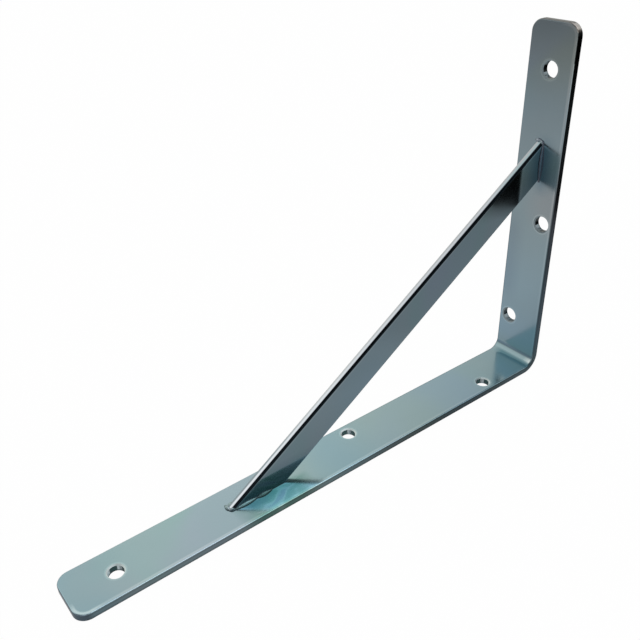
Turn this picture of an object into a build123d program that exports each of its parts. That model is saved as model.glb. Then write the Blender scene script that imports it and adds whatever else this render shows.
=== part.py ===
# Gallows shelf bracket in plated flat steel.
# A strap is bent to a right angle, a brace stands on edge between its two legs,
# and a weld at each end of the brace holds it.
# Millimetres. The origin is the sharp outer corner of the bend, mid-width.
# +X runs along the long leg, +Z up the short leg, and Y across the strap.

import os
from math import cos, pi, radians, sin, tan

from build123d import *

# Strap
strap_width = 30.0
strap_thickness = 4.0
long_leg_length = 316.0
short_leg_length = 215.0
inner_bend_radius = 6.5
end_corner_radius = 7.0
inner_edge_round = 0.7
outer_edge_round = 0.4

# Screw holes: one on the centre line near each free end, and two more in each leg,
# set to opposite sides so that a driver passes beside the brace
long_leg_hole_diameter = 8.0
short_leg_hole_diameter = 9.5
hole_rim_break = 0.7
end_hole_setback = 25.5
hole_side_step = 7.6
long_leg_middle_hole = 141.0
long_leg_inner_hole = 43.0
short_leg_middle_hole = 101.0
short_leg_inner_hole = 31.5

# Brace
brace_width = 19.0
brace_thickness = 4.0
brace_slope = 33.2
brace_foot_reach = 227.5
brace_rolled_edge_round = 1.5
brace_plain_edge_round = 0.4

# Welds: each run is half round, and swells from both ends towards its middle
weld_end_share = 0.35
weld_steps = 6
foot_weld_leg = 1.5
foot_weld_first_run = 13.5
foot_weld_second_run = 9.0
foot_weld_return = 6.0
top_weld_leg = 1.5
top_weld_run = 22.0
top_weld_return = 16.0
tip_weld_leg = 1.2
tip_weld_overhang = 1.2
weld_overlap = 0.5

# Worked out from the values above
half_width = strap_width / 2
half_brace = brace_thickness / 2
slope = radians(brace_slope)
foot_outer = brace_foot_reach
foot_inner = foot_outer - brace_width / sin(slope)
top_outer = strap_thickness + (foot_outer - strap_thickness) * tan(slope)
top_inner = top_outer - brace_width / cos(slope)
foot_rolled = foot_outer - brace_rolled_edge_round / sin(slope)
top_rolled = top_outer - brace_rolled_edge_round / cos(slope)
long_leg_holes = [
    (long_leg_length - end_hole_setback, 0),
    (long_leg_middle_hole, -hole_side_step),
    (long_leg_inner_hole, hole_side_step),
]
short_leg_holes = [
    (0, short_leg_length - end_hole_setback),
    (hole_side_step, short_leg_middle_hole),
    (-hole_side_step, short_leg_inner_hole),
]

os.makedirs("parts", exist_ok=True)

# Strap: the bent section is drawn at mid-width and pulled out to both edges
with BuildPart() as strap:
    with BuildSketch(Plane.XZ) as section:
        with BuildLine():
            Polyline(
                (0, 0),
                (long_leg_length, 0),
                (long_leg_length, strap_thickness),
                (strap_thickness, strap_thickness),
                (strap_thickness, short_leg_length),
                (0, short_leg_length),
                close=True,
            )
        make_face()
        outer_corner = section.vertices().sort_by_distance((0, 0))[0]
        fillet(outer_corner, inner_bend_radius + strap_thickness)
        inner_corner = section.vertices().sort_by_distance((strap_thickness, strap_thickness))[0]
        fillet(inner_corner, inner_bend_radius)
    extrude(amount=half_width, both=True)

    long_leg_end = strap.edges().filter_by(Axis.Z).group_by(Axis.X)[-1]
    short_leg_end = strap.edges().filter_by(Axis.X).group_by(Axis.Z)[-1]
    fillet(long_leg_end + short_leg_end, end_corner_radius)

    # The rounding runs on round the ends and through the bend
    long_leg_sides = strap.edges().filter_by(Axis.X).sort_by(SortBy.LENGTH)[-4:].sort_by(Axis.Z)
    fillet(long_leg_sides[:2], outer_edge_round)
    fillet(long_leg_sides[2:], inner_edge_round)

    with BuildSketch(Plane.XY):
        with Locations(*long_leg_holes):
            Circle(long_leg_hole_diameter / 2)
    extrude(amount=strap_thickness, mode=Mode.SUBTRACT)
    with BuildSketch(Plane.YZ):
        with Locations(*short_leg_holes):
            Circle(short_leg_hole_diameter / 2)
    extrude(amount=strap_thickness, mode=Mode.SUBTRACT)

    # The holes' rims are broken on the inner faces, where the screw heads sit
    hole_rims = strap.edges().filter_by(lambda edge: edge.is_closed)
    long_leg_rims = hole_rims.filter_by_position(Axis.Z, strap_thickness, strap_thickness)
    short_leg_rims = hole_rims.filter_by_position(Axis.X, strap_thickness, strap_thickness)
    chamfer(long_leg_rims + short_leg_rims, hole_rim_break)

strap.part.label = "strap"
export_step(strap.part, "parts/strap.step")

# Brace: its ends are cut to lie flat on the two legs, and shearing has rolled
# one of its outer edges over
with BuildPart() as brace:
    with BuildSketch(Plane.XZ):
        with BuildLine():
            Polyline(
                (foot_outer, strap_thickness),
                (strap_thickness, top_outer),
                (strap_thickness, top_inner),
                (foot_inner, strap_thickness),
                close=True,
            )
        make_face()
    extrude(amount=half_brace, both=True)

    along = brace.edges().sort_by(SortBy.LENGTH)[-4:]
    outer_edges = along.sort_by(SortBy.LENGTH)[-2:]
    rolled_edge = outer_edges.sort_by(Axis.Y)[-1]
    fillet(rolled_edge, brace_rolled_edge_round)
    plain_edges = [edge for edge in along if edge != rolled_edge]
    fillet(plain_edges, brace_plain_edge_round)

brace.part.label = "brace"
export_step(brace.part, "parts/brace.step")


def lay_weld(points, off_leg, leg):
    """Add a half-round run from each point to the next, a little past both, on the leg
    that off_leg points away from."""
    for start, end in zip(points, points[1:]):
        run = Vector(end) - Vector(start)
        lap = run.normalized() * weld_overlap
        start, run = Vector(start) - lap, run + lap * 2
        swell = []
        for step in range(weld_steps + 1):
            share = step / weld_steps
            height = weld_end_share + (1 - weld_end_share) * sin(pi * share)
            swell.append((run.length * share, leg * height))
        with BuildSketch(Plane(origin=start, x_dir=run, z_dir=off_leg)) as outline:
            with BuildLine():
                Polyline(*swell, (run.length, 0), (0, 0), close=True)
            make_face()
        bead = revolve(outline.sketch, Axis(start, run), revolution_arc=180, mode=Mode.PRIVATE)
        add(bead - brace.part)


# Foot weld: from beside the brace's far face across its tip and round to where the
# rolled edge comes down, two runs on along the near side, and one back on the far side
with BuildPart() as foot_weld:
    tip_points = [
        (foot_outer, -half_brace - tip_weld_overhang, strap_thickness),
        (foot_outer, half_brace - brace_rolled_edge_round, strap_thickness),
        (foot_rolled, half_brace, strap_thickness),
    ]
    near_points = [
        (foot_rolled, half_brace, strap_thickness),
        (foot_rolled - foot_weld_first_run, half_brace, strap_thickness),
        (foot_rolled - foot_weld_first_run - foot_weld_second_run, half_brace, strap_thickness),
    ]
    far_points = [
        (foot_outer, -half_brace, strap_thickness),
        (foot_outer - foot_weld_return, -half_brace, strap_thickness),
    ]
    lay_weld(tip_points, (0, 0, 1), tip_weld_leg)
    lay_weld(near_points, (0, 0, 1), foot_weld_leg)
    lay_weld(far_points, (0, 0, 1), foot_weld_leg)

foot_weld.part.label = "foot_weld"
export_step(foot_weld.part, "parts/foot_weld.step")

# Top weld: across the other tip in the same way, and down both sides of the brace
with BuildPart() as top_weld:
    tip_points = [
        (strap_thickness, -half_brace - tip_weld_overhang, top_outer),
        (strap_thickness, half_brace - brace_rolled_edge_round, top_outer),
        (strap_thickness, half_brace, top_rolled),
    ]
    near_points = [
        (strap_thickness, half_brace, top_rolled),
        (strap_thickness, half_brace, top_rolled - top_weld_run),
    ]
    far_points = [
        (strap_thickness, -half_brace, top_outer),
        (strap_thickness, -half_brace, top_outer - top_weld_return),
    ]
    lay_weld(tip_points, (1, 0, 0), tip_weld_leg)
    lay_weld(near_points, (1, 0, 0), top_weld_leg)
    lay_weld(far_points, (1, 0, 0), top_weld_leg)

top_weld.part.label = "top_weld"
export_step(top_weld.part, "parts/top_weld.step")

for piece in (strap, brace, foot_weld, top_weld):
    print(piece.part.label, len(piece.part.solids()), "solid,", round(piece.part.volume, 1), "mm3")
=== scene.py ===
from math import cos, radians, sin, tan

import bmesh
import bpy
from mathutils import Matrix, Quaternion, Vector

# Gallows shelf bracket: a bent flat strap, a brace set on edge between its legs,
# and the welds that hold it, all bright zinc plated after welding.
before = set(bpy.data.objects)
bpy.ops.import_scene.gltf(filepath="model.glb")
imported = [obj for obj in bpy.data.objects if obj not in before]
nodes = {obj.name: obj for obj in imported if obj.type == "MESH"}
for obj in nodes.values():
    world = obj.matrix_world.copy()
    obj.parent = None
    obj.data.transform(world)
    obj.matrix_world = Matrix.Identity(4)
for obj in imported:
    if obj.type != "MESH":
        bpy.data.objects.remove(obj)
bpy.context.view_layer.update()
bpy.context.scene.view_settings.view_transform = "Standard"


# Strap. One flat bar of mild steel, sheared to width, punched with six holes and bent
# once in a press, so its broad faces stay smooth and its sides show the cut. The bright
# zinc lies under a thin clear film, tinted from blue to green and lavender in clouds.

class Sheet:
    """Adds nodes to one tree and joins them up."""

    def __init__(self, tree):
        self.tree = tree

    def add(self, kind, links=None, **settings):
        """A node of that kind, its settings, and its inputs by name or number."""
        node = self.tree.nodes.new(kind)
        for name, value in settings.items():
            setattr(node, name, value)
        for key, source in (links or {}).items():
            self.feed(node.inputs[key], source)
        return node

    def feed(self, socket, source):
        """Join a socket to that socket, or set it to that value or colour."""
        if isinstance(source, bpy.types.NodeSocket):
            self.tree.links.new(source, socket)
        elif socket.type == "RGBA":
            socket.default_value = (*source, 1.0)
        else:
            socket.default_value = source

    def math(self, operation, first, second=0.0):
        return self.add("ShaderNodeMath", {0: first, 1: second}, operation=operation).outputs[0]

    def product(self, first, *others):
        """Masks or levels multiplied together."""
        for other in others:
            first = self.math("MULTIPLY", first, other)
        return first

    def split(self, vector):
        """The X, Y and Z of a vector."""
        return self.add("ShaderNodeSeparateXYZ", {0: vector}).outputs

    def vector(self, operation, first, second=(0.0, 0.0, 0.0)):
        """The vector, or for three of the operations the value, that comes of two vectors."""
        node = self.add("ShaderNodeVectorMath", {0: first, 1: second}, operation=operation)
        gives_value = operation in ("DOT_PRODUCT", "LENGTH", "DISTANCE")
        return node.outputs["Value" if gives_value else "Vector"]

    def slide(self, value, start, end, at_start, at_end):
        """A value that goes from at_start to at_end as another goes from start to end."""
        links = {0: value, 1: start, 2: end, 3: at_start, 4: at_end}
        return self.add("ShaderNodeMapRange", links).outputs[0]

    def rise(self, value, start, end):
        """0 where value is below start, 1 where it is past end."""
        return self.slide(value, start, end, 0.0, 1.0)

    def fall(self, value, start, end):
        """1 where value is below start, 0 where it is past end."""
        return self.slide(value, start, end, 1.0, 0.0)

    def band(self, value, low, high, soft):
        """1 where value lies between low and high, with soft edges."""
        return self.product(self.rise(value, low - soft, low + soft),
                            self.fall(value, high - soft, high + soft))

    def tint(self, factor, first, second, blend="MIX"):
        """Two colours mixed, or the first one multiplied by the second."""
        node = self.add("ShaderNodeMix", data_type="RGBA", blend_type=blend)
        for number, source in ((0, factor), (6, first), (7, second)):
            self.feed(node.inputs[number], source)
        return node.outputs[2]

    def ramp(self, value, stops):
        """A colour that eases from stop to stop: (place, colour) pairs."""
        node = self.add("ShaderNodeValToRGB", {"Fac": value})
        node.color_ramp.interpolation = "EASE"
        elements = node.color_ramp.elements
        while len(elements) < len(stops):
            elements.new(0.5)
        for element, (place, colour) in zip(elements, stops):
            element.position = place
            element.color = (*colour, 1.0)
        return node.outputs["Color"]


def new_group(name, inputs, outputs):
    """A shader node group with named sockets: (name, socket type, default) rows."""
    group = bpy.data.node_groups.new(name, "ShaderNodeTree")
    for socket_name, kind, default in inputs:
        socket = group.interface.new_socket(socket_name, in_out="INPUT", socket_type=kind)
        socket.default_value = default
    for socket_name, kind in outputs:
        group.interface.new_socket(socket_name, in_out="OUTPUT", socket_type=kind)
    sheet = Sheet(group)
    return group, sheet, sheet.add("NodeGroupInput").outputs, sheet.add("NodeGroupOutput").inputs


film_bloom_range = (0.35, 0.75)

film_group, film, film_in, film_out = new_group(
    "passivate film",
    [
        ("Metal", "NodeSocketColor", (0.6, 0.66, 0.69, 1.0)),
        ("Cloud Size", "NodeSocketFloat", 9.0),
        ("Film", "NodeSocketFloat", 0.5),
        ("Shift", "NodeSocketVector", (0.0, 0.0, 0.0)),
    ],
    [("Colour", "NodeSocketColor"), ("Bloom", "NodeSocketFloat")],
)
film_place = film.vector("ADD", film.add("ShaderNodeTexCoord").outputs["Object"], film_in["Shift"])
film_clouds = film.add("ShaderNodeTexNoise", {
    "Vector": film_place, "Scale": film_in["Cloud Size"], "Detail": 2.0, "Roughness": 0.45,
    "Distortion": 0.6}).outputs["Fac"]
film_tints = film.ramp(film_clouds, [
    (0.30, (0.90, 0.97, 1.12)),
    (0.43, (0.94, 1.00, 1.02)),
    (0.52, (1.00, 1.00, 0.99)),
    (0.61, (0.91, 1.02, 0.98)),
    (0.72, (1.02, 0.96, 1.06)),
])
film_colour = film.tint(film_in["Film"], film_in["Metal"],
                        film.tint(1.0, film_in["Metal"], film_tints, "MULTIPLY"))
film_specks = film.add("ShaderNodeTexNoise", {
    "Vector": film_place, "Scale": 55.0, "Detail": 4.0, "Roughness": 0.6}).outputs["Fac"]
film.feed(film_out["Colour"], film_colour)
film.feed(film_out["Bloom"], film.rise(film_specks, *film_bloom_range))

skin_group, skin, skin_in, skin_out = new_group(
    "rolled skin",
    [("Waves", "NodeSocketFloat", 1.0), ("Grain", "NodeSocketFloat", 0.02)],
    [("Height", "NodeSocketFloat")],
)
skin_place = skin.add("ShaderNodeTexCoord").outputs["Object"]
skin_waves = skin.add("ShaderNodeTexNoise", {
    "Vector": skin_place, "Scale": 60.0, "Detail": 1.0}).outputs["Fac"]
skin_grain = skin.add("ShaderNodeTexNoise", {
    "Vector": skin_place, "Scale": 1400.0, "Detail": 2.0}).outputs["Fac"]
skin.feed(skin_out["Height"], skin.math("ADD", skin.product(skin_waves, skin_in["Waves"]),
                                        skin.product(skin_grain, skin_in["Grain"])))

bloom_roughness = 0.06
skin_strength = 0.2
skin_depth = 0.0002


class Plate:
    """A zinc plated material: its sheet, and the sockets that a piece's own marks join."""

    def __init__(self, name, metal, film_strength, cloud_size, roughness, shift=(0.0, 0.0, 0.0)):
        self.material = bpy.data.materials.new(name)
        self.material.use_nodes = True
        self.sheet = Sheet(self.material.node_tree)
        self.shader = self.material.node_tree.nodes["Principled BSDF"].inputs
        self.shader["Metallic"].default_value = 1.0
        laid = self.sheet.add("ShaderNodeGroup", {
            "Metal": metal, "Cloud Size": cloud_size, "Film": film_strength, "Shift": shift},
            node_tree=film_group).outputs
        self.colour = laid["Colour"]
        self.rough = self.sheet.math(
            "ADD", self.sheet.product(laid["Bloom"], bloom_roughness), roughness)
        skin_height = self.sheet.add("ShaderNodeGroup", node_tree=skin_group).outputs["Height"]
        self.normal = self.sheet.add("ShaderNodeBump", {
            "Height": skin_height, "Strength": skin_strength, "Distance": skin_depth}).outputs[0]
        self.place = self.sheet.add("ShaderNodeTexCoord").outputs["Object"]
        self.at = self.sheet.split(self.place)
        self.facing = self.sheet.split(self.sheet.add("ShaderNodeNewGeometry").outputs["True Normal"])

    def mark(self, mask, colour):
        """Lay a colour where the mask is 1."""
        self.colour = self.sheet.tint(mask, self.colour, colour)

    def tone(self, mask, colour):
        """Multiply by a colour where the mask is 1."""
        self.colour = self.sheet.tint(mask, self.colour, colour, "MULTIPLY")

    def roughen(self, mask, roughness):
        """Set the roughness where the mask is 1."""
        self.rough = self.sheet.slide(mask, 0.0, 1.0, self.rough, roughness)

    def bend_light(self, height, mask):
        """Tilt the normal by a height in metres where the mask is 1."""
        self.normal = self.sheet.add("ShaderNodeBump", {
            "Height": height, "Strength": mask, "Distance": 1.0, "Normal": self.normal}).outputs[0]

    def dress(self, *node_names):
        """Join the colour, roughness and normal, and put the material on those nodes."""
        self.sheet.feed(self.shader["Base Color"], self.colour)
        self.sheet.feed(self.shader["Roughness"], self.rough)
        self.sheet.feed(self.shader["Normal"], self.normal)
        for node_name in node_names:
            materials = nodes[node_name].data.materials
            materials.clear()
            materials.append(self.material)


strap_metal = (0.34, 0.46, 0.505)
strap_thickness = 0.004
strap_long_reach = 0.316
strap_short_reach = 0.215
strap_half_width = 0.015
strap_corner = 0.007
long_hole_radius = 0.004
short_hole_radius = 0.00475
hole_side_step = 0.0076
long_leg_holes = [
    ((0.2905, 0.0, strap_thickness), long_hole_radius),
    ((0.141, -hole_side_step, strap_thickness), long_hole_radius),
    ((0.043, hole_side_step, strap_thickness), long_hole_radius),
]
short_leg_holes = [
    ((strap_thickness, 0.0, 0.1895), short_hole_radius),
    ((strap_thickness, hole_side_step, 0.101), short_hole_radius),
    ((strap_thickness, -hole_side_step, 0.0315), short_hole_radius),
]
strap_plate = Plate("zinc plated strap", strap_metal, film_strength=0.85, cloud_size=7.0, roughness=0.15)
sheet, at, facing = strap_plate.sheet, strap_plate.at, strap_plate.facing
along_long = sheet.math("DIVIDE", at["X"], strap_long_reach)
along_short = sheet.math("DIVIDE", at["Z"], strap_short_reach)
depth = sheet.math("MINIMUM", at["X"], at["Z"])
from_bend = sheet.math("MAXIMUM", at["X"], at["Z"])
from_middle = sheet.math("ABSOLUTE", at["Y"])
flat_x = sheet.math("ABSOLUTE", facing["X"])
flat_y = sheet.math("ABSOLUTE", facing["Y"])
flat_z = sheet.math("ABSOLUTE", facing["Z"])

# The film's tint shifts slowly along each leg
strap_plate.tone(1.0, sheet.ramp(along_long, [
    (0.05, (1.00, 1.00, 1.00)),
    (0.38, (1.04, 1.00, 0.96)),
    (0.50, (0.91, 0.97, 1.01)),
    (0.60, (0.99, 1.01, 0.98)),
    (0.74, (0.97, 1.01, 0.98)),
    (0.86, (1.02, 0.96, 0.99)),
    (0.98, (0.84, 0.88, 0.93)),
]))
strap_plate.tone(1.0, sheet.ramp(along_short, [
    (0.03, (1.00, 1.00, 1.00)),
    (0.10, (1.00, 1.04, 1.13)),
    (0.22, (0.99, 1.01, 1.06)),
    (0.50, (1.03, 0.97, 0.96)),
    (0.77, (1.05, 0.98, 0.99)),
    (0.95, (1.14, 0.95, 0.84)),
]))

# By the foot a blue-green patch is partly temper colour from the welds and partly a painted
# reflection of the brace, with painted shade deepest against the brace; by the top a darker tint beside
# the brace is partly heat tint and partly painted shade
foot_patch_span = (0.184, 0.222, 0.006)
foot_patch_near = (0.0, 0.003)
foot_core_reach = (0.0035, 0.0095)
foot_core_shade_tone = (0.74, 0.86, 0.84)
temper_stretch = (1.0, 2.2, 1.0)
top_patch_span = (0.122, 0.150, 0.005)
top_patch_width = (0.0, 0.0075, 0.0035)
top_heat_and_shade_tone = (0.62, 0.72, 0.80)
foot_temper_and_reflection = sheet.product(sheet.band(at["X"], *foot_patch_span), sheet.rise(at["Y"], *foot_patch_near))
temper = sheet.add("ShaderNodeTexNoise", {
    "Vector": sheet.vector("MULTIPLY", strap_plate.place, temper_stretch),
    "Scale": 62.0, "Detail": 2.0, "Roughness": 0.5, "Distortion": 0.35}).outputs["Fac"]
strap_plate.tone(foot_temper_and_reflection, sheet.ramp(temper, [
    (0.32, (0.42, 0.62, 0.57)),
    (0.45, (0.52, 0.70, 0.64)),
    (0.54, (0.60, 0.76, 0.69)),
    (0.62, (0.86, 0.92, 0.88)),
    (0.72, (0.70, 0.74, 0.80)),
]))
# Painted shade, deepest against the brace
foot_core_shade = sheet.product(foot_temper_and_reflection, sheet.fall(at["Y"], *foot_core_reach))
strap_plate.tone(foot_core_shade, foot_core_shade_tone)
# Partly heat tint, partly painted shade beside the brace's top
top_heat_and_shade = sheet.product(sheet.band(at["Z"], *top_patch_span), sheet.band(at["Y"], *top_patch_width))
strap_plate.tone(top_heat_and_shade, top_heat_and_shade_tone)

# A pale bloom lies beside the short leg's middle hole, and a greyer patch by its far edge
bloom_middle = (0.004, 0.013, 0.113)
bloom_reach = (0.006, 0.022)
bloom_tone = (1.10, 0.97, 0.95)
far_patch_side = (-0.011, -0.002)
far_patch_span = (0.045, 0.100, 0.008)
far_patch_tone = (0.90, 0.89, 0.92)
strap_plate.tone(sheet.fall(sheet.vector("DISTANCE", strap_plate.place, bloom_middle), *bloom_reach),
                 bloom_tone)
strap_plate.tone(sheet.product(sheet.fall(at["Y"], *far_patch_side),
                               sheet.band(at["Z"], *far_patch_span)), far_patch_tone)

# The walls of the punched holes are duller than the faces, and darkened further as painted shade, most
# in the short leg
face_border = (0.0142, 0.0146)
wall_turn = (0.2, 0.4)
long_walls_span = (0.02, 0.305, 0.001)
short_walls_span = (0.02, 0.204, 0.001)
long_wall_dull_and_shade_tone = (0.30, 0.42, 0.40)
short_wall_dull_and_shade_tone = (0.20, 0.20, 0.20)
inside = sheet.fall(from_middle, *face_border)
long_walls = sheet.product(sheet.band(at["X"], *long_walls_span), sheet.fall(flat_z, *wall_turn))
short_walls = sheet.product(sheet.band(at["Z"], *short_walls_span), sheet.fall(flat_x, *wall_turn))
strap_plate.tone(sheet.product(inside, long_walls), long_wall_dull_and_shade_tone)
strap_plate.tone(sheet.product(inside, short_walls), short_wall_dull_and_shade_tone)

# The punch drew the metal down a little round each hole, which rounds the broken rim
# and leaves it matt; the rim is brightened as a painted highlight, and its slant is painted lighter on
# the long leg and darker on the upright short leg as painted light and shade
rim_inner = (-0.0003, 0.0001)
rim_outer = (0.0011, 0.0017)
rim_highlight_tone = (1.25, 1.21, 1.19)
rim_rounding = 0.92
slant_turn = (0.45, 0.92, 0.03)
slant_change = (0.004, 0.02)
slant_long_tone = (0.55, 0.64, 0.67)
slant_short_tone = (0.32, 0.39, 0.42)
slant_roughness = 0.30
from_hole = 1.0
for middle, radius in long_leg_holes + short_leg_holes:
    reach = sheet.math("SUBTRACT", sheet.vector("DISTANCE", strap_plate.place, middle), radius)
    from_hole = sheet.math("MINIMUM", reach, from_hole)
rim = sheet.product(sheet.rise(from_hole, *rim_inner), sheet.fall(from_hole, *rim_outer))
slant = sheet.product(rim, sheet.band(sheet.math("MAXIMUM", flat_x, flat_z), *slant_turn), inside)
slant_tone = sheet.tint(sheet.rise(at["Z"], *slant_change), slant_long_tone, slant_short_tone)
strap_plate.tone(rim, rim_highlight_tone)
strap_plate.mark(slant, slant_tone)
strap_plate.roughen(slant, slant_roughness)
strap_plate.bend_light(sheet.product(depth, -rim_rounding), slant)

# The press left the bend's inner face duller toward the short leg, and it is darkened there
# as painted shade. Lower down it takes a painted shade from the legs, and a painted glint at its near
# edge, both only within the bend
bend_dark_turn = (0.90, 0.992, 0.02)
bend_dark_lift = (0.08, 0.14)
bend_dark_hole_gap = (0.001, 0.002)
bend_dull_and_shade_tone = (0.62, 0.68, 0.76)
bend_end = (0.0112, 0.0120)
shade_turn = (0.06, 0.60, 0.05)
shade_side = (-0.013, -0.007)
shade_depth = (0.0036, 0.0038)
shade_tone = (0.46, 0.63, 0.68)
glint_turn = (0.60, 0.90, 0.05)
glint_side = (0.009, 0.0135)
glint_tone = (1.9, 1.6, 1.5)
bend_dull_and_shade = sheet.product(sheet.band(facing["X"], *bend_dark_turn), sheet.rise(facing["Z"], *bend_dark_lift),
                          sheet.rise(from_hole, *bend_dark_hole_gap))
strap_plate.tone(bend_dull_and_shade, bend_dull_and_shade_tone)
in_bend = sheet.fall(from_bend, *bend_end)
bend_shade = sheet.product(sheet.band(facing["X"], *shade_turn), sheet.rise(at["Y"], *shade_side),
                           sheet.rise(depth, *shade_depth), in_bend)
strap_plate.tone(bend_shade, shade_tone)
bend_glint = sheet.product(sheet.band(facing["X"], *glint_turn), sheet.rise(at["Y"], *glint_side),
                           in_bend)
strap_plate.tone(bend_glint, glint_tone)

# Along its near outline the bar's face carries a painted highlight, strongest at the long
# leg's end, and near the bend the very edge is painted dark
edge_highlight_width = (0.0004, 0.0019, 0.0004)
edge_highlight_side = (0.004, 0.009)
edge_highlight_growth = (0.04, 0.16, 0.3, 1.0)
edge_highlight_tone = (1.34, 1.24, 1.22)
edge_highlight_end = (0.302, 0.308)
edge_highlight_end_tone = (1.40, 1.30, 1.25)
edge_line_width = (0.0006, 0.0009)
edge_line_reach = (0.09, 0.17)
edge_line_tone = (0.45, 0.50, 0.52)
past_end = sheet.math("MAXIMUM",
                      sheet.math("SUBTRACT", at["X"], strap_long_reach - strap_corner),
                      sheet.math("SUBTRACT", at["Z"], strap_short_reach - strap_corner))
past_side = sheet.math("SUBTRACT", from_middle, strap_half_width - strap_corner)
past = sheet.add("ShaderNodeCombineXYZ", {
    0: sheet.math("MAXIMUM", past_end, 0.0), 1: sheet.math("MAXIMUM", past_side, 0.0)}).outputs[0]
from_outline = sheet.math("SUBTRACT", strap_corner, sheet.vector("LENGTH", past))
edge_highlight = sheet.product(sheet.band(from_outline, *edge_highlight_width), sheet.rise(at["Y"], *edge_highlight_side),
                       sheet.slide(from_bend, *edge_highlight_growth))
strap_plate.tone(edge_highlight, edge_highlight_tone)
strap_plate.tone(sheet.product(edge_highlight, sheet.rise(at["X"], *edge_highlight_end)), edge_highlight_end_tone)
strap_plate.tone(sheet.product(sheet.fall(from_outline, *edge_line_width),
                               sheet.fall(from_bend, *edge_line_reach)), edge_line_tone)

# The cut sides are duller than the faces, with painted light and shade along each leg
side_turn = (0.6, 0.9)
sides = sheet.product(sheet.rise(flat_y, *side_turn), sheet.rise(from_middle, *face_border))
strap_plate.tone(sides, sheet.ramp(along_long, [
    (0.05, (0.78, 0.78, 0.78)),
    (0.15, (0.57, 0.55, 0.52)),
    (0.35, (0.64, 0.60, 0.56)),
    (0.55, (0.86, 0.82, 0.78)),
    (0.90, (0.96, 0.96, 0.93)),
]))
strap_plate.tone(sides, sheet.ramp(along_short, [
    (0.08, (1.00, 1.00, 1.00)),
    (0.22, (0.90, 0.86, 0.92)),
    (0.37, (0.66, 0.60, 0.66)),
    (0.50, (0.80, 0.72, 0.80)),
    (0.62, (1.50, 1.40, 1.46)),
    (0.75, (0.90, 0.90, 0.90)),
    (0.90, (0.35, 0.35, 0.35)),
]))

# The rounding of the outer edge, turned away from every light, is nearly black
outer_round_border = (0.01455, 0.01465)
outer_round_turn = (-0.93, -0.1, 0.03)
outer_round_tone = (0.12, 0.12, 0.13)
strap_plate.tone(sheet.product(sheet.rise(from_middle, *outer_round_border),
                               sheet.band(facing["X"], *outer_round_turn)), outer_round_tone)

# The cut ends: the short leg's tip is painted darker, with a paler painted highlight toward
# its near corner, whose side below it is painted dark, and the long leg's end is painted darker than its
# face
tip_start = (0.2100, 0.2108)
tip_turn = (0.90, 0.98)
end_start = (0.308, 0.311)
end_turn = (0.6, 0.8)
end_shade_tone = (0.60, 0.56, 0.60)
tip_side_turn = (0.3, 0.45)
tip_side_span = (0.195, 0.2104, 0.0004)
tip_side_shade_tone = (0.25, 0.25, 0.25)
strap_plate.tone(sheet.product(sheet.rise(at["Z"], *tip_start), sheet.fall(flat_x, *tip_turn)),
                 sheet.ramp(sheet.math("DIVIDE", at["Y"], strap_half_width), [
                     (0.50, (0.46, 0.40, 0.38)),
                     (0.68, (0.92, 0.74, 0.66)),
                     (0.88, (0.86, 0.68, 0.60)),
                 ]))
strap_plate.tone(sheet.product(sheet.rise(at["X"], *end_start), sheet.fall(flat_z, *end_turn)), end_shade_tone)
strap_plate.tone(sheet.product(sheet.rise(facing["Y"], *tip_side_turn),
                               sheet.band(at["Z"], *tip_side_span)), tip_side_shade_tone)

# The shear burnished the middle of each side and tore the rest
burnished_span = (0.0013, 0.0029, 0.0003)
burnished_tone = (1.08, 1.08, 1.08)
torn_tone = (0.80, 0.80, 0.80)
strap_plate.tone(sides, sheet.tint(sheet.band(depth, *burnished_span), torn_tone, burnished_tone))
strap_plate.dress("strap")


# Brace. A narrower flat bar on edge, cropped to fit between the legs. Shearing rolled
# one long edge over, which is painted as a nearly black line, a painted reflection, beside the cut face,
# whose near half carries a painted highlight. Its foot was drawn a little off square as the weld cooled.
brace_metal = (0.335, 0.45, 0.52)
brace_slope = radians(33.2)
brace_width = 0.019
brace_half = 0.002
brace_foot_reach = 0.2275
brace_top_normal = (sin(brace_slope), 0.0, cos(brace_slope))
brace_top_reach = brace_foot_reach * sin(brace_slope) + strap_thickness * cos(brace_slope)
brace_plate = Plate("zinc plated brace", brace_metal, film_strength=0.7, cloud_size=9.0,
                    roughness=0.07, shift=(0.3, 0.1, 0.2))
sheet, at, facing = brace_plate.sheet, brace_plate.at, brace_plate.facing
below_top = sheet.math("SUBTRACT", brace_top_reach,
                       sheet.vector("DOT_PRODUCT", brace_plate.place, brace_top_normal))
from_near = sheet.math("SUBTRACT", brace_half, at["Y"])
from_leg = sheet.math("MINIMUM", at["X"], at["Z"])

# Both ends are darker near the legs, partly from weld heat and partly painted shade, and the top is
# duller from the heat; a thin dark line runs where it meets the legs, and the lower edge carries painted
# shade
end_heat_and_shade_reach = (0.008, 0.020)
end_heat_and_shade_tone = (0.62, 0.71, 0.76)
top_dull_start = (0.112, 0.130)
top_dull_tone = (0.86, 0.82, 0.74)
seam_reach = (0.0042, 0.0046)
seam_dark_tone = (0.05, 0.07, 0.08)
low_edge = (brace_width - 0.0006, brace_width - 0.0002)
low_edge_share = 0.7
low_edge_shade_tone = (0.08, 0.11, 0.13)
brace_plate.tone(sheet.fall(from_leg, *end_heat_and_shade_reach), end_heat_and_shade_tone)
brace_plate.tone(sheet.rise(at["Z"], *top_dull_start), top_dull_tone)
brace_plate.mark(sheet.fall(from_leg, *seam_reach), seam_dark_tone)
brace_plate.mark(sheet.slide(below_top, *low_edge, 0.0, low_edge_share), low_edge_shade_tone)

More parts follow.
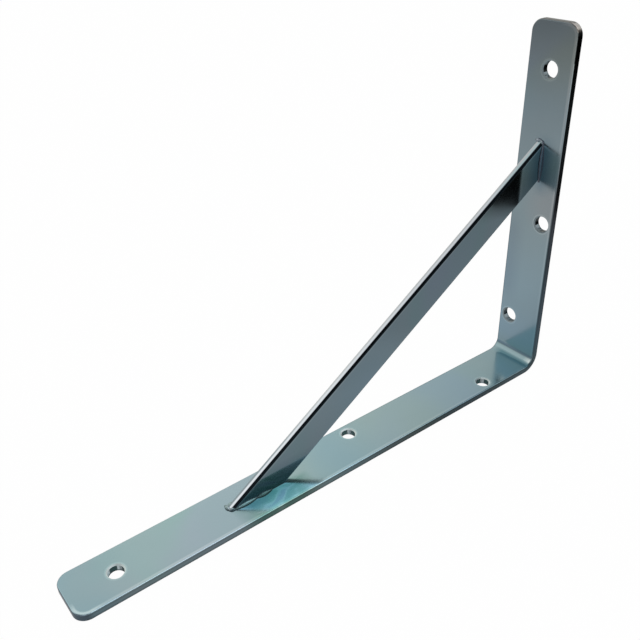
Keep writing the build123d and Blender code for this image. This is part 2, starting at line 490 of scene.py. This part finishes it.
# The cut face is bare of film; its near half is painted brighter as a highlight, and the far half
# darkens toward the foot and the near half toward the top
cut_far_reach = 0.23
cut_near_reach = 0.15
cut_halves = (0.0025, 0.0029)
cut_depth = (0.0001, 0.0003)
cut_far_tone = sheet.ramp(sheet.math("DIVIDE", at["X"], cut_far_reach), [
    (0.70, (0.50, 0.53, 0.58)),
    (0.93, (0.22, 0.27, 0.31)),
])
cut_near_tone = sheet.ramp(sheet.math("DIVIDE", at["Z"], cut_near_reach), [
    (0.80, (0.62, 0.665, 0.75)),
    (0.93, (0.44, 0.56, 0.62)),
])
cut_tones = sheet.tint(sheet.rise(from_near, *cut_halves), cut_near_tone, cut_far_tone)
brace_plate.mark(sheet.fall(below_top, *cut_depth), cut_tones)

# The rolled edge is painted nearly black, a painted reflection of the dark room, and the thin bright
# line below it is a painted highlight
near_side_turn = (0.8, 0.95)
lip_span = (0.0015, 0.0021, 0.0002)
lip_share = 0.6
lip_highlight_tone = (0.52, 0.62, 0.68)
roll_drop = (0.00110, 0.00135)
roll_width = (0.00105, 0.00135)
roll_reflection_tone = (0.008, 0.012, 0.016)
brace_plate.mark(sheet.product(sheet.band(below_top, *lip_span),
                               sheet.slide(facing["Y"], *near_side_turn, 0.0, lip_share)), lip_highlight_tone)
brace_plate.mark(sheet.product(sheet.fall(below_top, *roll_drop), sheet.fall(from_near, *roll_width)),
                 roll_reflection_tone)

# The lean of the foot fades out up the near side
brace_lean = radians(4.5)
brace_lean_top = 0.055
lean_height = sheet.math("MINIMUM", at["Z"], brace_lean_top)
lean_fall = sheet.math("DIVIDE", sheet.product(lean_height, lean_height), 2 * brace_lean_top)
lean = sheet.product(sheet.math("SUBTRACT", lean_fall, lean_height), tan(brace_lean))
brace_plate.bend_light(lean, sheet.rise(facing["Y"], *near_side_turn))
brace_plate.dress("brace")


# Welds. Short runs of weld metal laid by hand along the foot of the brace and round
# its tips, never ground, and plated over with the rest; their toes are painted dark as shade in the
# creases.
weld_metal = (0.36, 0.44, 0.47)
weld_runs_span = (0.0016, 0.004, 0.0002)
weld_runs_tone = (0.48, 0.68, 0.68)
foot_run_span = (0.19, 0.2125, 0.0008)
foot_run_tone = (0.50, 0.58, 0.56)
top_run_span = (0.1, 0.1475, 0.0008)
top_run_tone = (0.50, 0.48, 0.62)
toe_height = (0.0042, 0.0048)
toe_seam = (0.0018, 0.0024, 0.0002)
toe_change = (0.09, 0.1)
foot_toe_shade_tone = (0.06, 0.085, 0.095)
top_toe_shade_tone = (0.20, 0.21, 0.26)
weld_plate = Plate("zinc plated weld", weld_metal, film_strength=0.9, cloud_size=60.0,
                   roughness=0.36, shift=(0.7, 0.4, 0.1))
sheet, at = weld_plate.sheet, weld_plate.at
weld_runs = sheet.band(at["Y"], *weld_runs_span)
weld_plate.tone(weld_runs, weld_runs_tone)
weld_plate.tone(sheet.product(weld_runs, sheet.band(at["X"], *foot_run_span)), foot_run_tone)
weld_plate.tone(sheet.band(at["Z"], *top_run_span), top_run_tone)
# Painted shade where the welds meet the brace and the legs
toe_shade_tone = sheet.tint(sheet.rise(at["Z"], *toe_change), foot_toe_shade_tone, top_toe_shade_tone)
weld_plate.mark(sheet.fall(sheet.math("MINIMUM", at["X"], at["Z"]), *toe_height), toe_shade_tone)
weld_plate.mark(sheet.band(at["Y"], *toe_seam), toe_shade_tone)
weld_plate.dress("foot_weld", "top_weld")


# Floor. A pale sheet that the long leg lies on, plain white to the eye with a faint
# shadow. The metal sees it as a glowing table top, with its light and the leg's shadows painted into the
# glow, that falls off and ends on one side.
floor_half = 6.0
floor_drop = 0.0001
floor_mesh = bpy.data.meshes.new("floor")
floor_bm = bmesh.new()
bmesh.ops.create_grid(floor_bm, x_segments=1, y_segments=1, size=floor_half)
bmesh.ops.translate(floor_bm, verts=floor_bm.verts, vec=(0.0, 0.0, -floor_drop))
floor_bm.to_mesh(floor_mesh)
floor_bm.free()
floor = bpy.data.objects.new("floor", floor_mesh)
bpy.context.scene.collection.objects.link(floor)

paper_grey = (0.8, 0.8, 0.8)
paper_white_share = 0.985
floor_paper = bpy.data.materials.new("floor sheet")
floor_paper.use_nodes = True
paper = Sheet(floor_paper.node_tree)
paper_out = floor_paper.node_tree.nodes["Material Output"].inputs["Surface"]
floor_paper.node_tree.nodes.remove(floor_paper.node_tree.nodes["Principled BSDF"])
ray = paper.add("ShaderNodeLightPath").outputs
paper_diffuse = paper.add("ShaderNodeBsdfDiffuse", {"Color": paper_grey}).outputs[0]
paper_white = paper.add("ShaderNodeEmission", {"Strength": 1.0}).outputs[0]
paper_seen = paper.add("ShaderNodeMixShader", {
    0: paper_white_share, 1: paper_diffuse, 2: paper_white}).outputs[0]
where = paper.add("ShaderNodeTexCoord").outputs["Object"]
over = paper.split(where)

# The table top's light falls off with distance, and on the camera's side of the bracket
table_glow = 0.57
table_reach = 1.1
table_front = (-0.06, 0.06)
table_front_share = 0.62
far = paper.math("POWER", paper.math("DIVIDE", paper.vector("LENGTH", where), table_reach), 2.0)
glow = paper.math("DIVIDE", table_glow, paper.math("ADD", far, 1.0))
glow = paper.product(glow, paper.slide(over["Y"], *table_front, 1.0, table_front_share))

# It is dark under the leg, but for the light through the holes, and dimmer beside it
leg_half_length = strap_long_reach / 2
under_leg_share = 0.08
under_leg_sides = (0.0148, 0.0156)
under_leg_ends = (0.149, 0.152)
through_hole_share = 0.6
through_hole_soft = 0.0006
contact_span = (0.0, 0.035, 0.015)
contact_share = 0.75
from_leg_middle = paper.math("ABSOLUTE", paper.math("SUBTRACT", over["X"], leg_half_length))
shaded = paper.math(
    "MAXIMUM",
    paper.slide(paper.math("ABSOLUTE", over["Y"]), *under_leg_sides, under_leg_share, 1.0),
    paper.slide(from_leg_middle, *under_leg_ends, under_leg_share, 1.0))
for middle, radius in long_leg_holes:
    from_axis = paper.vector("DISTANCE", where, (*middle[:2], -floor_drop))
    shaded = paper.math("MAXIMUM", shaded, paper.slide(
        from_axis, radius - through_hole_soft, radius, through_hole_share, 0.0))
contact = paper.slide(paper.band(over["Y"], *contact_span), 0.0, 1.0, 1.0, contact_share)
glow = paper.product(glow, paper.product(shaded, contact))

# One corner is lit more, and across its diagonals the table ends in the dark on one side
# and brightens toward the windows on the other
corner_start = (0.15, 0.28)
corner_side = (0.06, 0.15)
corner_gain = 1.35
diagonal = 0.7071
table_end_reach = 0.4
table_end_levels = [
    (0.00, 1.08), (0.10, 0.93), (0.575, 0.88), (0.615, 0.68),
    (0.650, 0.52), (0.680, 0.015), (0.85, 0.015), (1.00, 0.06),
]
window_gain = (0.36, 0.60, 1.0, 2.2)
corner = paper.product(paper.slide(over["X"], *corner_start, 0.0, corner_gain - 1.0),
                       paper.rise(over["Y"], *corner_side))
glow = paper.product(glow, paper.math("ADD", 1.0, corner))
aside = paper.product(paper.math("SUBTRACT", over["Y"], over["X"]), diagonal)
glow = paper.product(glow, paper.ramp(
    paper.math("DIVIDE", aside, table_end_reach),
    [(place, (level, level, level)) for place, level in table_end_levels]))
toward_windows = paper.product(paper.math("ADD", over["X"], over["Y"]), diagonal)
glow = paper.product(glow, paper.slide(toward_windows, *window_gain))
paper_table = paper.add("ShaderNodeEmission", {"Strength": glow}).outputs[0]
paper_unseen = paper.add("ShaderNodeMixShader", {
    0: ray["Is Glossy Ray"], 1: paper_diffuse, 2: paper_table}).outputs[0]
paper.feed(paper_out, paper.add("ShaderNodeMixShader", {
    0: ray["Is Camera Ray"], 1: paper_unseen, 2: paper_seen}).outputs[0])
floor_mesh.materials.append(floor_paper)


# Surroundings. A lit white wall stands on the far side of the bracket and the room is
# dim on the camera's side, with one large soft light overhead on the left. Low windows
# round the rest of the room light the sides that face away from the wall.
white = (1.0, 1.0, 1.0)
wall_colour = (1.0, 0.99, 0.91)
world = bpy.data.worlds.new("studio")
bpy.context.scene.world = world
world.use_nodes = True
room = Sheet(world.node_tree)
background = world.node_tree.nodes["Background"].inputs
toward = room.split(room.add("ShaderNodeTexCoord").outputs["Generated"])

# The wall and the dim room, both darker at the horizon and on the left
wall_border = (-0.66, -0.22)
wall_right = (0.15, 0.45, 1.0, 1.25)
dim_levels = (0.22, 0.14)
dim_border = (-0.1, 0.1)
dim_turn = 0.33
horizon = (0.0, 0.42, 0.40, 1.0)
left_end = (-0.75, -0.5, 0.88, 1.0)
lit = room.fall(toward["Y"], *wall_border)
turned = room.math("ADD", toward["X"], room.product(toward["Y"], dim_turn))
dim = room.slide(turned, *dim_border, *dim_levels)
level = room.math("ADD", room.product(lit, room.slide(toward["X"], *wall_right)),
                  room.product(room.math("SUBTRACT", 1.0, lit), dim))
level = room.product(level, room.slide(toward["Z"], *horizon), room.slide(toward["X"], *left_end))

# The light overhead, and what of it reaches past the middle high up
overhead_side = (-0.12, 0.05)
overhead_height = (0.40, 0.55)
overhead_span = (-0.36, 0.61, 0.05)
overhead_growth = (0.15, 0.45)
overhead_levels = (1.2, 2.4)
above_side = (0.25, 0.45)
above_height = (0.82, 0.88)
above_span = (-0.15, 0.25, 0.08)
overhead = room.product(room.fall(toward["X"], *overhead_side),
                        room.rise(toward["Z"], *overhead_height),
                        room.band(toward["Y"], *overhead_span),
                        room.slide(toward["Y"], *overhead_growth, *overhead_levels))
above = room.product(room.rise(toward["Z"], *above_height), room.band(toward["Y"], *above_span),
                     room.slide(toward["X"], *above_side, overhead_levels[0], 0.0))
level = room.math("MAXIMUM", level, room.math("MAXIMUM", overhead, above))

# The low windows, and a taller one behind the camera
window_level = 0.75
window_front = (0.75, 0.82)
window_ends = (0.88, 0.94)
window_height = (0.0, 0.52, 0.05)
behind_side = (0.28, 0.42)
behind_front = (0.15, 0.35)
behind_height = (0.0, 0.78, 0.06)
across = room.math("MAXIMUM", room.slide(toward["Y"], *window_front, 0.0, window_level),
                   room.slide(room.math("ABSOLUTE", toward["X"]), *window_ends, 0.0, window_level))
windows = room.product(across, room.band(toward["Z"], *window_height))
behind = room.product(room.rise(toward["Y"], *behind_front), room.band(toward["Z"], *behind_height),
                      room.slide(toward["X"], *behind_side, 0.0, window_level))
level = room.math("MAXIMUM", level, room.math("MAXIMUM", windows, behind))
seen = room.add("ShaderNodeLightPath").outputs["Is Camera Ray"]
room.feed(background["Color"], room.tint(seen, room.tint(lit, white, wall_colour), white))
room.feed(background["Strength"], room.math(
    "MAXIMUM", seen, room.product(level, room.math("SUBTRACT", 1.0, seen))))


# Camera. It stands close in front of the bracket and above it, a little rolled, with
# the lens that the perspective of the photograph asks for.
camera_place = Vector((0.35872, 0.25907, 0.29082))
camera_aim = Vector((0.14522, -0.02599, 0.07449))
camera_roll = radians(-1.792)
camera_data = bpy.data.cameras.new("camera")
camera_data.lens = 42.75
camera_data.sensor_width = 36.0
camera_data.clip_start = 0.01
camera = bpy.data.objects.new("camera", camera_data)
bpy.context.scene.collection.objects.link(camera)
look = (camera_aim - camera_place).to_track_quat("-Z", "Y")
camera.matrix_world = Matrix.LocRotScale(camera_place, look @ Quaternion((0, 0, 1), camera_roll), None)
bpy.context.scene.camera = camera

bpy.context.view_layer.update()
